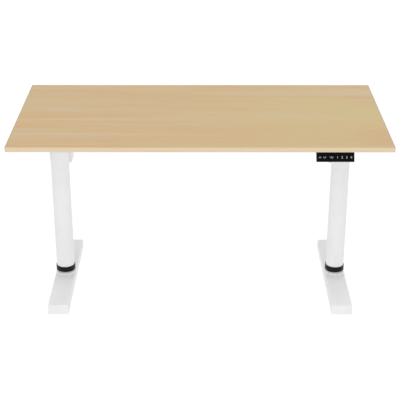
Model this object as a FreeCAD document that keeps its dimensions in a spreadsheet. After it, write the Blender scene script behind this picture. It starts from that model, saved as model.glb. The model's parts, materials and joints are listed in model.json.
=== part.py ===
import FreeCAD, Part
import math
import os
import re

import Sketcher

# Height adjustable standing desk. X runs along the width, Y along the depth with the user at -Y,
# Z up. The origin is on the floor under the middle of the desk, which stands at its lowest height.

Vector = FreeCAD.Vector
doc = FreeCAD.newDocument("standing_desk")
sheet = doc.addObject("Spreadsheet::Sheet", "sizes")

SIZES = (
    ("desk_width", 1400, "tabletop width"),
    ("desk_depth", 700, "tabletop depth"),
    ("top_height", 732, "working height at the lowest position"),
    ("stroke", 450, "lift travel"),
    ("board_thick", 18, "tabletop thickness"),
    ("band_thick", 2, "edge band"),
    ("band_corner", 2, "radius of the tabletop's upright corners"),
    ("band_round", 1, "radius along the tabletop's rims"),
    ("column_inset", 146, "column axis from the tabletop's end"),
    ("outer_dia", 72, "outer column tube"),
    ("inner_dia", 64, "inner column tube"),
    ("tube_wall", 2, "column tube walls"),
    ("run_gap", 0.05, "radial clearance of a running fit"),
    ("foot_width", 80, "foot beam width"),
    ("foot_length", 568, "foot length over its end caps"),
    ("foot_tube", 40, "foot beam height"),
    ("foot_wall", 2, "foot beam wall"),
    ("foot_round", 4, "foot beam corner radius"),
    ("cap_thick", 3, "foot end cap plate"),
    ("cap_plug", 12, "how far a cap's plug enters the beam"),
    ("edge_bevel", 1, "bevel on the rims of the glides and the black rings"),
    ("glide_thick", 4, "levelling glide's pad"),
    ("glide_dia", 40, "levelling glide's pad diameter"),
    ("glide_stem", 8, "levelling glide's stem diameter"),
    ("glide_reach", 26, "levelling glide's stem length"),
    ("glide_inset", 34, "glide axis from the foot's end"),
    ("flange_dia", 78, "base flange of the inner tube"),
    ("flange_thick", 6, "base flange"),
    ("foot_bolt_dia", 8, "foot bolt shank"),
    ("foot_bolt_head", 13, "foot bolt head diameter"),
    ("foot_bolt_head_high", 5, "foot bolt head height"),
    ("foot_bolt_mouth", 17, "hole under the foot beam for a foot bolt's head"),
    ("foot_bolt_circle", 44, "foot bolt circle diameter"),
    ("ring_gap", 6.5, "base flange to the black ring"),
    ("ring_over", 2.5, "black ring past the outer tube's wall"),
    ("ring_high", 22.5, "black ring height"),
    ("ring_lip", 3.5, "ring floor under the outer tube's end"),
    ("sleeve_high", 65, "bushing sleeve inside the outer tube"),
    ("bushing_high", 44, "upper bushing height"),
    ("bushing_drop", 4, "inner tube's end above the upper bushing"),
    ("inner_gap", 27, "inner tube's end to the gear case"),
    ("spindle_dia", 18, "spindle"),
    ("nut_high", 32, "spindle nut height"),
    ("nut_margin", 30, "spindle left under the nut at full height"),
    ("stop_dia", 56, "stop collar on the spindle's end"),
    ("stop_high", 6, "stop collar height"),
    ("case_width", 84, "gear case and motor cover width"),
    ("case_front", 42, "gear case in front of the column axis"),
    ("case_back", 116, "gear case behind the column axis"),
    ("case_high", 37, "gear case height without its lid"),
    ("case_wall", 3, "gear case wall"),
    ("case_floor", 5, "gear case floor"),
    ("case_round", 9, "gear case corner radius"),
    ("collar_drop", 114, "collar round the tube under the gear case"),
    ("collar_wall", 2.2, "collar wall"),
    ("cover_gap", 1.8, "collar to the motor cover's front face"),
    ("cover_drop", 148, "motor cover under the gear case"),
    ("cover_wall", 2, "motor cover wall"),
    ("cover_round", 5, "motor cover corner radius"),
    ("lid_thick", 3, "gear case lid"),
    ("shaft_under", 6, "shaft ends under the gear case lid"),
    ("head_thick", 10, "column head block"),
    ("head_length", 140, "column head block along Y"),
    ("head_play", 1, "gap on each side of the head block in its bracket"),
    ("motor_dia", 58, "motor can"),
    ("motor_high", 132, "motor can height"),
    ("motor_boss_high", 7, "motor boss height"),
    ("motor_boss_dia", 24, "motor boss diameter"),
    ("shaft_dia", 8, "motor shaft and idler pin"),
    ("shaft_hole", 16, "hole for the motor shaft in the gear case floor"),
    ("pin_over", 3, "idler pin above its gear"),
    ("shaft_sunk", 12, "motor shaft length inside the can"),
    ("gear_module", 1.25, "gear module"),
    ("spindle_teeth", 46, "spindle gear teeth"),
    ("idler_teeth", 34, "idler gear teeth"),
    ("motor_teeth", 14, "pinion teeth"),
    ("gear_wide", 12, "gear face width"),
    ("gear_lift", 3, "gears above the gear case floor"),
    ("backlash", 0.3, "tooth play of each gear at its pitch circle"),
    ("bracket_width", 70, "side bracket width"),
    ("bracket_inset", 80, "side bracket's ends from the tabletop's front and back edges"),
    ("bracket_thick", 3, "side bracket steel"),
    ("bracket_high", 12, "side bracket height"),
    ("pad_thick", 2, "rubber pad on a bracket"),
    ("pad_width", 50, "rubber pad along X"),
    ("pad_length", 30, "rubber pad along Y"),
    ("screw_dia", 4, "board screw shank"),
    ("screw_hole", 6, "hole for a board screw"),
    ("screw_head_dia", 9, "board screw head"),
    ("screw_head_high", 2.6, "board screw head height"),
    ("screw_bite", 12, "board screw length inside the board"),
    ("screw_inner", 110, "inner bracket screws from the middle"),
    ("screw_inset", 30, "outer bracket screws from the bracket's ends"),
    ("rail_wide", 60, "centre rail along Y"),
    ("rail_high", 30, "centre rail height"),
    ("rail_wall", 2, "rail walls"),
    ("rail_fit", 0.3, "side rail inside the centre rail"),
    ("rail_length", 310, "side rail length"),
    ("rail_grip", 120, "side rail length inside the centre rail"),
    ("rail_drop", 4, "rails under the gear case's top"),
    ("plate_thick", 3, "side rail's end plate"),
    ("plate_wide", 76, "side rail's end plate along Y"),
    ("control_width", 260, "control case along X"),
    ("control_depth", 90, "control case along Y"),
    ("control_high", 32, "control case height"),
    ("control_back", 60, "control case's front face behind the middle"),
    ("control_wall", 2, "control case wall"),
    ("control_round", 6, "control case corner radius"),
    ("ear_reach", 14, "control case ear length"),
    ("ear_width", 20, "control case ear width"),
    ("ear_thick", 2.5, "ears and handset flange"),
    ("inlet_width", 30, "mains inlet width"),
    ("inlet_high", 22, "mains inlet height"),
    ("inlet_depth", 22, "mains inlet depth"),
    ("inlet_inset", 60, "mains inlet from the control case's middle"),
    ("inlet_wall", 3, "mains inlet side walls"),
    ("inlet_base", 6, "mains inlet base behind its well"),
    ("blade_thick", 2, "inlet blade along X"),
    ("blade_long", 9, "inlet blade out of the base"),
    ("blade_high", 4, "inlet blade height"),
    ("blade_pitch", 7, "outer inlet blades from the middle one"),
    ("blade_drop", 3, "outer inlet blades' lower edge under the inlet's middle"),
    ("motor_lead_dia", 5, "motor lead"),
    ("handset_lead_dia", 4, "handset lead"),
    ("lead_drop", 9, "lead axis under the board"),
    ("plug_size", 12, "plug width and height"),
    ("plug_length", 14, "plug length"),
    ("clip_width", 16, "cable clip across the lead"),
    ("clip_length", 8, "cable clip along the lead"),
    ("clip_under", 3.5, "cable clip under the lead's axis"),
    ("handset_width", 135.5, "handset width"),
    ("handset_drop", 37, "handset face's lower edge under the board"),
    ("handset_tilt", 24.7, "handset face from the vertical, in degrees"),
    ("handset_lip", 1, "handset behind the tabletop's front edge"),
    ("handset_deep", 16, "handset thickness behind its face"),
    ("handset_inset", 212, "handset's middle from the tabletop's right end"),
    ("handset_flange", 26, "handset flange behind its housing"),
    ("handset_roof", 24, "handset housing's roof along the board"),
    ("handset_rear", 12, "handset housing's rear wall under its flange"),
    ("handset_wall", 2, "handset housing wall"),
    ("handset_skin", 5, "handset housing between its room and its back"),
    ("fascia_thick", 2, "handset fascia"),
    ("key_pitch", 16.5, "key spacing"),
    ("key_drop", 4.5, "row of keys under the middle of the face"),
    ("key_width", 12.6, "key width"),
    ("key_high", 22, "key height"),
    ("key_gap", 0.3, "gap round a key"),
    ("key_proud", 0.8, "key above the fascia"),
    ("key_body", 2.6, "key cap under the fascia's face"),
    ("key_stem", 4, "key stem width"),
    ("key_rest", 5.1, "key stem's end under the face"),
    ("panel_depth", 6, "handset circuit board under the face"),
    ("panel_thick", 1.2, "handset circuit board"),
    ("panel_over", 3, "handset circuit board past the keys' ends"),
    ("display_width", 19.5, "display window"),
)

for row, (alias, number, meaning) in enumerate(SIZES, start=1):
    sheet.set(f"A{row}", meaning)
    sheet.set(f"B{row}", str(number))
    sheet.setAlias(f"B{row}", alias)
doc.recompute()
ALIASES = {alias for alias, number, meaning in SIZES}

# Levels and places that several pieces share, as expressions of the sheet's sizes.
UNDERSIDE = "(top_height - board_thick)"
BRACKET_TOP = f"({UNDERSIDE} - pad_thick)"
WEB_LOW = f"({BRACKET_TOP} - bracket_thick)"
BRACKET_LENGTH = "(desk_depth - 2 * bracket_inset)"
OUTER_SCREW = f"({BRACKET_LENGTH} / 2 - screw_inset)"
LID_LOW = f"({WEB_LOW} - head_thick - lid_thick)"
CASE_LOW = f"({LID_LOW} - case_high)"
GEAR_LOW = f"({CASE_LOW} + case_floor + gear_lift)"
FOOT_TOP = "(glide_thick + foot_tube)"
FLANGE_TOP = f"({FOOT_TOP} + flange_thick)"
RING_LOW = f"({FLANGE_TOP} + ring_gap)"
TUBE_LOW = f"({RING_LOW} + ring_lip)"
INNER_TOP = f"({CASE_LOW} - inner_gap)"
NUT_LOW = f"({INNER_TOP} - nut_high)"
SPINDLE_LOW = f"({NUT_LOW} - stroke - nut_margin)"
COLUMN = "(desk_width / 2 - column_inset)"
RING_RADIUS = "(outer_dia / 2 + ring_over)"
COVER_FRONT = "(outer_dia / 2 + collar_wall + cover_gap)"
IDLER_Y = "((spindle_teeth + idler_teeth) * gear_module / 2)"
MOTOR_Y = f"({IDLER_Y} + (idler_teeth + motor_teeth) * gear_module / 2)"
RAIL_TOP = f"({LID_LOW} - rail_drop)"
RAIL_END = f"({COLUMN} - case_width / 2)"
CENTRE_RAIL_END = f"({RAIL_END} - rail_length + rail_grip)"
LEAD_Z = f"({UNDERSIDE} - lead_drop)"
FACE_Y = "(handset_lip - desk_depth / 2)"
FACE_Z = f"({UNDERSIDE} - handset_drop)"
HANDSET_X = "(desk_width / 2 - handset_inset)"
FACE_HIGH = "(handset_drop / cos(handset_tilt * 1 deg))"
FACE_MIDDLE = f"({FACE_HIGH} / 2)"
KEY_ROW = f"({FACE_MIDDLE} - key_drop)"
HOUSING_BACK = f"({FACE_Y} + handset_deep * cos(handset_tilt * 1 deg) + handset_roof)"
HANDSET_SCREW_Y = f"({HOUSING_BACK} + handset_flange / 2)"

SIDES = (("left", -1), ("right", 1))
MEMORY_KEYS = 4
NODES = []


def bound(text):
    """The expression with each size's alias written as a cell of the sheet."""
    return re.sub(r"[a-z_]+", lambda word: f"sizes.{word[0]}" if word[0] in ALIASES else word[0], text)


def value(text):
    """The expression's number."""
    number = sheet.evalExpression(bound(text))
    return float(getattr(number, "Value", number))


def bind(thing, prop, text):
    thing.setExpression(prop, bound(text))


def place(thing, corner):
    """Ties the three coordinates of a placement to expressions."""
    for axis, text in zip("xyz", corner):
        bind(thing, f"Placement.Base.{axis}", text)
    return thing


def keep(label, thing):
    """Makes the object a sub-part under this name."""
    thing.Label = label
    NODES.append(thing)
    return thing


def box(size, corner):
    block = doc.addObject("Part::Box", "block")
    for prop, text in zip(("Length", "Width", "Height"), size):
        bind(block, prop, text)
    return place(block, corner)


def cylinder(radius, height, foot):
    """A cylinder along Z from its foot point."""
    rod = doc.addObject("Part::Cylinder", "rod")
    bind(rod, "Radius", radius)
    bind(rod, "Height", height)
    return place(rod, foot)


def joined(parts):
    """One object that holds all the parts."""
    if len(parts) == 1:
        return parts[0]
    union = doc.addObject("Part::MultiFuse", "union")
    union.Shapes = parts
    return union


def cut(base, tools):
    rest = doc.addObject("Part::Cut", "rest")
    rest.Base = base
    rest.Tool = joined(tools)
    return rest


def origin_plane(body, role):
    return next(plane for plane in body.Origin.OriginFeatures if plane.Role == role)


def new_sketch(body, role):
    sketch = body.newObject("Sketcher::SketchObject", "outline")
    sketch.AttachmentSupport = (origin_plane(body, role), [""])
    sketch.MapMode = "FlatFace"
    return sketch


def polygon(sketch, points):
    """A closed outline whose corners are tied to expressions."""
    corners = [Vector(value(across), value(up), 0) for across, up in points]
    first = sketch.GeometryCount
    for index, corner in enumerate(corners):
        following = corners[(index + 1) % len(corners)]
        sketch.addGeometry(Part.LineSegment(corner, following), False)
    for index, (across, up) in enumerate(points):
        line = first + index
        after = first + (index + 1) % len(points)
        sketch.addConstraint(Sketcher.Constraint("Coincident", line, 2, after, 1))
        for kind, text in (("DistanceX", across), ("DistanceY", up)):
            number = sketch.addConstraint(Sketcher.Constraint(kind, -1, 1, line, 1, value(text)))
            bind(sketch, f"Constraints[{number}]", text)


def circle(sketch, radius):
    """A circle round the sketch's origin with its radius tied to an expression."""
    ring = sketch.addGeometry(Part.Circle(Vector(0, 0, 0), Vector(0, 0, 1), value(radius)), False)
    sketch.addConstraint(Sketcher.Constraint("Coincident", ring, 3, -1, 1))
    number = sketch.addConstraint(Sketcher.Constraint("Radius", ring, value(radius)))
    bind(sketch, f"Constraints[{number}]", radius)


def rectangle(width, depth):
    """The corners of a rectangle round the origin."""
    return [
        (f"-({width}) / 2", f"-({depth}) / 2"),
        (f"({width}) / 2", f"-({depth}) / 2"),
        (f"({width}) / 2", f"({depth}) / 2"),
        (f"-({width}) / 2", f"({depth}) / 2"),
    ]


def padded(role, outlines, length, corner, middle=False):
    """A body made by a pad of outlines on one of its origin planes."""
    body = doc.addObject("PartDesign::Body", "body")
    sketch = new_sketch(body, role)
    for outline in outlines:
        if isinstance(outline, str):
            circle(sketch, outline)
        else:
            polygon(sketch, outline)
    pad = body.newObject("PartDesign::Pad", "pad")
    pad.Profile = sketch
    bind(pad, "Length", length)
    pad.Midplane = middle
    doc.recompute()
    return place(body, corner)


def revolved(points, corner):
    """A body turned from an outline of (radius, height) corners round Z."""
    body = doc.addObject("PartDesign::Body", "body")
    sketch = new_sketch(body, "XZ_Plane")
    polygon(sketch, points)
    turned = body.newObject("PartDesign::Revolution", "turned")
    turned.Profile = sketch
    turned.ReferenceAxis = (sketch, ["V_Axis"])
    turned.Angle = 360
    doc.recompute()
    return place(body, corner)


def rounded(body, radius, wanted):
    """Rounds the edges of the body's last feature that wanted picks, in the body's own frame."""
    base = body.Tip
    names = [f"Edge{index}" for index, edge in enumerate(base.Shape.Edges, start=1) if wanted(edge)]
    fillet = body.newObject("PartDesign::Fillet", "fillet")
    fillet.Base = (base, names)
    bind(fillet, "Radius", radius)
    doc.recompute()
    return body


def along(direction):
    """Picks the straight edges that run along a direction."""
    def wanted(edge):
        run = edge.Vertexes[-1].Point - edge.Vertexes[0].Point
        return run.Length > 0 and run.cross(direction).Length < 1e-6 * run.Length
    return wanted


def slab(width, depth, height, corner, radius):
    """A block round its own upright axis with rounded upright edges."""
    body = padded("XY_Plane", [rectangle(width, depth)], height, corner)
    return rounded(body, radius, along(Vector(0, 0, 1)))


def across_x(sign, reach):
    """The X of something on one side of the desk: its distance from the middle with its sign."""
    return f"({reach})" if sign > 0 else f"-({reach})"


def desktop():
    """Laminated board with pilot holes, inside a band with softened rims."""
    low = ("band_thick - desk_width / 2", "band_thick - desk_depth / 2", UNDERSIDE)
    inner = ("desk_width - 2 * band_thick", "desk_depth - 2 * band_thick", "board_thick")
    pilots = [cylinder("screw_dia / 2", "screw_bite", (x, y, UNDERSIDE)) for x, y, z in screw_places()]
    keep("desktop_board", cut(box(inner, low), pilots))
    rim = padded("XY_Plane", [rectangle("desk_width", "desk_depth")], "board_thick", ("0", "0", UNDERSIDE))
    rounded(rim, "band_corner", along(Vector(0, 0, 1)))
    rounded(rim, "band_round", lambda edge: abs(edge.tangentAt(edge.FirstParameter).z) < 1e-6)
    keep("edge_band", cut(rim, [box(inner, low)]))


def screw_places():
    """X, Y and the level of the head's top face for every board screw."""
    places = []
    for side, sign in SIDES:
        for reach in (OUTER_SCREW, "screw_inner"):
            for end in ("-", ""):
                places.append((across_x(sign, COLUMN), f"{end}{reach}", WEB_LOW))
    ear = "(control_width / 2 + ear_reach / 2)"
    for side, sign in SIDES:
        for share in ("0.25", "0.75"):
            back = f"control_back + {share} * control_depth"
            places.append((across_x(sign, ear), back, f"({UNDERSIDE} - ear_thick)"))
    for side, sign in SIDES:
        x = f"{HANDSET_X} + {sign} * handset_width / 3"
        places.append((x, HANDSET_SCREW_Y, f"({UNDERSIDE} - ear_thick)"))
    return places


def board_screws():
    screws = []
    for x, y, level in screw_places():
        screws.append(cylinder("screw_head_dia / 2", "screw_head_high", (x, y, f"{level} - screw_head_high")))
        screws.append(cylinder("screw_dia / 2", f"{UNDERSIDE} + screw_bite - {level}", (x, y, level)))
    keep("board_screws", joined(screws))


def foot(side, sign):
    """Foot beam with bolt and glide holes, its end caps and its two levelling glides."""
    x = across_x(sign, COLUMN)
    beam_length = "(foot_length - 2 * cap_thick)"
    middle = "(glide_thick + foot_tube / 2)"
    inner_width = "(foot_width - 2 * foot_wall)"
    inner_high = "(foot_tube - 2 * foot_wall)"
    outer = padded("XZ_Plane", [rectangle("foot_width", "foot_tube")], beam_length, (x, "0", middle), True)
    rounded(outer, "foot_round", along(Vector(0, 1, 0)))
    bore = padded("XZ_Plane", [rectangle(inner_width, inner_high)], beam_length, (x, "0", middle), True)
    rounded(bore, "foot_round - foot_wall", along(Vector(0, 1, 0)))
    tools = [bore]
    for across, back in bolt_places():
        centre = (f"{x} + {across}", back, f"{FOOT_TOP} - foot_wall")
        tools.append(cylinder("foot_bolt_dia / 2", "foot_wall", centre))
        mouth = (f"{x} + {across}", back, "glide_thick")
        tools.append(cylinder("foot_bolt_mouth / 2", "foot_wall", mouth))
    for end in ("-", ""):
        hole = (x, f"{end}(foot_length / 2 - glide_inset)", "glide_thick")
        tools.append(cylinder("glide_stem / 2 + run_gap", "foot_wall", hole))
    keep(f"{side}_foot_beam", cut(outer, tools))

    caps = []
    for end, facing in (("-", 1), ("", -1)):
        reach = f"{end}(foot_length / 2 - cap_thick / 2)"
        face = [rectangle("foot_width", "foot_tube")]
        plate = padded("XZ_Plane", face, "cap_thick", (x, reach, middle), True)
        rounded(plate, "foot_round", along(Vector(0, 1, 0)))
        reach = f"{end}(foot_length / 2 - cap_thick - cap_plug / 2)"
        face = [rectangle(inner_width, inner_high)]
        plug = padded("XZ_Plane", face, "cap_plug", (x, reach, middle), True)
        rounded(plug, "foot_round - foot_wall", along(Vector(0, 1, 0)))
        caps.append(plate)
        caps.append(plug)
    keep(f"{side}_foot_caps", joined(caps))

    for name, end in (("front", "-"), ("rear", "")):
        y = f"{end}(foot_length / 2 - glide_inset)"
        pad = [
            ("0", "0"),
            ("glide_dia / 2 - edge_bevel", "0"),
            ("glide_dia / 2", "edge_bevel"),
            ("glide_dia / 2", "glide_thick"),
            ("glide_stem / 2", "glide_thick"),
            ("glide_stem / 2", "glide_thick + glide_reach"),
            ("0", "glide_thick + glide_reach"),
        ]
        keep(f"{side}_{name}_glide", revolved(pad, (x, y, "0")))


def bolt_places():
    """The four foot bolts round the column axis."""
    half = "foot_bolt_circle / 2 * sqrt(0.5)"
    return [(f"({a} * {half})", f"({b} * {half})") for a in ("-1", "1") for b in ("-1", "1")]


def inner_column(side, sign):
    """Inner tube with its base flange, the foot bolts, the upper bushing and the spindle nut."""
    x = across_x(sign, COLUMN)
    length = f"({INNER_TOP} - {FOOT_TOP})"
    bore = "(inner_dia / 2 - tube_wall)"
    outline = [
        ("spindle_dia / 2", "0"),
        ("flange_dia / 2", "0"),
        ("flange_dia / 2", "flange_thick"),
        ("inner_dia / 2", "flange_thick"),
        ("inner_dia / 2", length),
        (bore, length),
        (bore, "flange_thick"),
        ("spindle_dia / 2", "flange_thick"),
    ]
    tube = revolved(outline, (x, "0", FOOT_TOP))
    holes = []
    bolts = []
    for across, back in bolt_places():
        spot = (f"{x} + {across}", back)
        holes.append(cylinder("foot_bolt_dia / 2", "flange_thick", (*spot, FOOT_TOP)))
        top_wall = f"({FOOT_TOP} - foot_wall)"
        bolts.append(cylinder("foot_bolt_dia / 2", "foot_wall + flange_thick", (*spot, top_wall)))
        head_low = f"{top_wall} - foot_bolt_head_high"
        bolts.append(cylinder("foot_bolt_head / 2", "foot_bolt_head_high", (*spot, head_low)))
    keep(f"{side}_inner_column", cut(tube, holes))
    keep(f"{side}_foot_bolts", joined(bolts))

    sleeve = ["outer_dia / 2 - tube_wall - run_gap", "inner_dia / 2"]
    low = f"{INNER_TOP} - bushing_drop - bushing_high"
    keep(f"{side}_upper_bushing", padded("XY_Plane", sleeve, "bushing_high", (x, "0", low)))
    threaded = [bore, "spindle_dia / 2 + run_gap"]
    keep(f"{side}_spindle_nut", padded("XY_Plane", threaded, "nut_high", (x, "0", NUT_LOW)))


def outer_column(side, sign):
    """Outer tube and the black ring whose sleeve guides the inner tube."""
    x = across_x(sign, COLUMN)
    wall = ["outer_dia / 2", "outer_dia / 2 - tube_wall"]
    length = f"{CASE_LOW} - {TUBE_LOW}"
    keep(f"{side}_outer_tube", padded("XY_Plane", wall, length, (x, "0", TUBE_LOW)))
    guide = "inner_dia / 2 + run_gap"
    outline = [
        (guide, "0"),
        (f"{RING_RADIUS} - edge_bevel", "0"),
        (RING_RADIUS, "edge_bevel"),
        (RING_RADIUS, "ring_high - edge_bevel"),
        (f"{RING_RADIUS} - edge_bevel", "ring_high"),
        ("outer_dia / 2", "ring_high"),
        ("outer_dia / 2", "ring_lip"),
        ("outer_dia / 2 - tube_wall", "ring_lip"),
        ("outer_dia / 2 - tube_wall", "ring_lip + sleeve_high"),
        (guide, "ring_lip + sleeve_high"),
    ]
    keep(f"{side}_lower_bushing", revolved(outline, (x, "0", RING_LOW)))


def tooth_flank(teeth, module, backlash):
    """Radius and half angle of a tooth at three points of its involute, and the root radius."""
    pressure = math.radians(20)
    pitch = teeth * module / 2
    base = pitch * math.cos(pressure)
    tip = pitch + 0.8 * module
    root = pitch - 1.25 * module
    start = max(base, root + 0.2 * module)
    half_pitch_angle = math.pi / (2 * teeth) - backlash / (2 * pitch)
    flank = []
    for share in (0, 0.5, 1):
        radius = start + share * (tip - start)
        slope = math.acos(min(1, base / radius))
        turn = math.tan(pressure) - pressure - math.tan(slope) + slope
        flank.append((radius, half_pitch_angle + turn))
    return flank, root


def gear_shape(teeth, first_tooth):
    """A spur gear as a prism round Z with one tooth centred at the angle first_tooth."""
    flank, root = tooth_flank(teeth, value("gear_module"), value("backlash"))
    points = []
    for number in range(teeth):
        centre = first_tooth + 2 * math.pi * number / teeth
        rising = [(root, flank[0][1])] + flank
        sides = [(radius, -half) for radius, half in rising] + list(reversed(rising))
        for radius, half in sides:
            points.append(Vector(radius * math.cos(centre + half), radius * math.sin(centre + half), 0))
    outline = Part.makePolygon(points + points[:1])
    return Part.Face(outline).extrude(Vector(0, 0, value("gear_wide")))


def gear(teeth_name, first_tooth, corner, bore):
    """A gear with a bore, or solid on its shaft where the bore is None."""
    shape = gear_shape(round(value(teeth_name)), first_tooth)
    if bore is not None:
        shape = shape.cut(Part.makeCylinder(value(bore), value("gear_wide")))
    wheel = doc.addObject("Part::Feature", "gear")
    wheel.Shape = shape
    wheel.Placement = FreeCAD.Placement(Vector(*[value(text) for text in corner]), FreeCAD.Rotation())
    return wheel


def drive(side, sign):
    """Spindle with its stop collar, and the gear train from the motor."""
    x = across_x(sign, COLUMN)
    rod_length = f"({LID_LOW} - shaft_under - {SPINDLE_LOW})"
    rod = cylinder("spindle_dia / 2", rod_length, (x, "0", SPINDLE_LOW))
    stop = cylinder("stop_dia / 2", "stop_high", (x, "0", SPINDLE_LOW))
    keep(f"{side}_spindle", joined([rod, stop]))

    toward_back = math.pi / 2
    spindle_gear = gear("spindle_teeth", toward_back, (x, "0", GEAR_LOW), "spindle_dia / 2")
    keep(f"{side}_spindle_gear", spindle_gear)
    half_tooth = math.pi / value("idler_teeth")
    idler = gear("idler_teeth", half_tooth - toward_back, (x, IDLER_Y, GEAR_LOW), "shaft_dia / 2 + run_gap")
    keep(f"{side}_idler_gear", idler)
    pinion = gear("motor_teeth", -toward_back, (x, MOTOR_Y, GEAR_LOW), None)
    shaft_low = f"({CASE_LOW} - motor_boss_high - shaft_sunk)"
    shaft_length = f"({LID_LOW} - shaft_under - {shaft_low})"
    shaft = cylinder("shaft_dia / 2", shaft_length, (x, MOTOR_Y, shaft_low))
    keep(f"{side}_motor_pinion", joined([pinion, shaft]))

    can_low = f"({CASE_LOW} - motor_boss_high - motor_high)"
    can = cylinder("motor_dia / 2", "motor_high", (x, MOTOR_Y, can_low))
    boss = cylinder("motor_boss_dia / 2", "motor_boss_high", (x, MOTOR_Y, f"{CASE_LOW} - motor_boss_high"))
    bore = cylinder("shaft_dia / 2 + run_gap", "motor_boss_high + shaft_sunk", (x, MOTOR_Y, shaft_low))
    keep(f"{side}_motor", cut(joined([can, boss]), [bore]))


def gear_case(side, sign):
    """Gear case with the collar round the tube, the idler's pin, the lid and the motor cover."""
    x = across_x(sign, COLUMN)
    depth = "(case_front + case_back)"
    middle = "((case_back - case_front) / 2)"
    outer = slab("case_width", depth, "case_high", (x, middle, CASE_LOW), "case_round")
    room_width = "case_width - 2 * case_wall"
    room_depth = f"{depth} - 2 * case_wall"
    room_low = f"({CASE_LOW} + case_floor)"
    room = slab(room_width, room_depth, "case_high - case_floor", (x, middle, room_low),
                "case_round - case_wall")
    spindle_bore = cylinder("spindle_dia / 2 + run_gap", "case_floor", (x, "0", CASE_LOW))
    shaft_hole = cylinder("shaft_hole / 2", "case_floor", (x, MOTOR_Y, CASE_LOW))
    shell = cut(outer, [room, spindle_bore, shaft_hole])
    pin = cylinder("shaft_dia / 2", "gear_lift + gear_wide + pin_over", (x, IDLER_Y, room_low))
    collar_low = f"{CASE_LOW} - collar_drop"
    collar = padded("XY_Plane", ["outer_dia / 2 + collar_wall", "outer_dia / 2"], "collar_drop",
                    (x, "0", collar_low))
    keep(f"{side}_gear_case", joined([shell, pin, collar]))

    plate = slab("case_width", depth, "lid_thick", (x, middle, LID_LOW), "case_round")
    head_width = "(bracket_width - 2 * bracket_thick - 2 * head_play)"
    head_low = f"({LID_LOW} + lid_thick)"
    head = box((head_width, "head_length", "head_thick"),
               (f"{x} - {head_width} / 2", "-head_length / 2", head_low))
    keep(f"{side}_gear_lid", joined([plate, head]))

    cover_depth = f"(case_back - {COVER_FRONT})"
    cover_middle = f"((case_back + {COVER_FRONT}) / 2)"
    cover_low = f"({CASE_LOW} - cover_drop)"
    skin = slab("case_width", cover_depth, "cover_drop", (x, cover_middle, cover_low), "cover_round")
    room = slab("case_width - 2 * cover_wall", f"{cover_depth} - 2 * cover_wall", "cover_drop - cover_wall",
                (x, cover_middle, f"{cover_low} + cover_wall"), "cover_round - cover_wall")
    keep(f"{side}_motor_cover", cut(skin, [room]))


def side_bracket(side, sign):
    """Channel under the board that the column head sits in."""
    x = across_x(sign, COLUMN)
    half = "bracket_width / 2"
    slot = "(bracket_width / 2 - bracket_thick)"
    outline = [
        (f"-{half}", "-bracket_high"),
        (f"-{slot}", "-bracket_high"),
        (f"-{slot}", "-bracket_thick"),
        (slot, "-bracket_thick"),
        (slot, "-bracket_high"),
        (half, "-bracket_high"),
        (half, "0"),
        (f"-{half}", "0"),
    ]
    channel = padded("XZ_Plane", [outline], BRACKET_LENGTH, (x, "0", BRACKET_TOP), True)
    keep(f"{side}_side_bracket", cut(channel, bracket_holes(sign, WEB_LOW, "bracket_thick")))


def bracket_holes(sign, low, depth):
    """Clearance holes for the bracket screws of one side."""
    holes = []
    for reach in (OUTER_SCREW, "screw_inner"):
        for end in ("-", ""):
            spot = (across_x(sign, COLUMN), f"{end}{reach}", low)
            holes.append(cylinder("screw_hole / 2", depth, spot))
    return holes


def bracket_pads():
    pads = []
    holes = []
    for side, sign in SIDES:
        for reach in (OUTER_SCREW, "screw_inner"):
            for end in ("-", ""):
                left_edge = f"{across_x(sign, COLUMN)} - pad_width / 2"
                corner = (left_edge, f"{end}{reach} - pad_length / 2", BRACKET_TOP)
                pads.append(box(("pad_width", "pad_length", "pad_thick"), corner))
        holes.extend(bracket_holes(sign, BRACKET_TOP, "pad_thick"))
    keep("bracket_pads", cut(joined(pads), holes))


def rails():
    """Centre rail and the two side rails that slide in it to set the frame's width."""
    middle = f"({RAIL_TOP} - rail_high / 2)"
    inner_wide = "(rail_wide - 2 * rail_wall)"
    inner_high = "(rail_high - 2 * rail_wall)"
    walls = [rectangle("rail_wide", "rail_high"), rectangle(inner_wide, inner_high)]
    keep("centre_rail", padded("YZ_Plane", walls, f"2 * {CENTRE_RAIL_END}", ("0", "0", middle), True))
    slim_wide = f"({inner_wide} - 2 * rail_fit)"
    slim_high = f"({inner_high} - 2 * rail_fit)"
    slim = [
        rectangle(slim_wide, slim_high),
        rectangle(f"{slim_wide} - 2 * rail_wall", f"{slim_high} - 2 * rail_wall"),
    ]
    for side, sign in SIDES:
        bar_middle = across_x(sign, f"{RAIL_END} - plate_thick - (rail_length - plate_thick) / 2")
        bar = padded("YZ_Plane", slim, "rail_length - plate_thick", (bar_middle, "0", middle), True)
        plate_middle = across_x(sign, f"{RAIL_END} - plate_thick / 2")
        face = [rectangle("plate_wide", "rail_high")]
        plate = padded("YZ_Plane", face, "plate_thick", (plate_middle, "0", middle), True)
        keep(f"{side}_rail", joined([bar, plate]))


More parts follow.
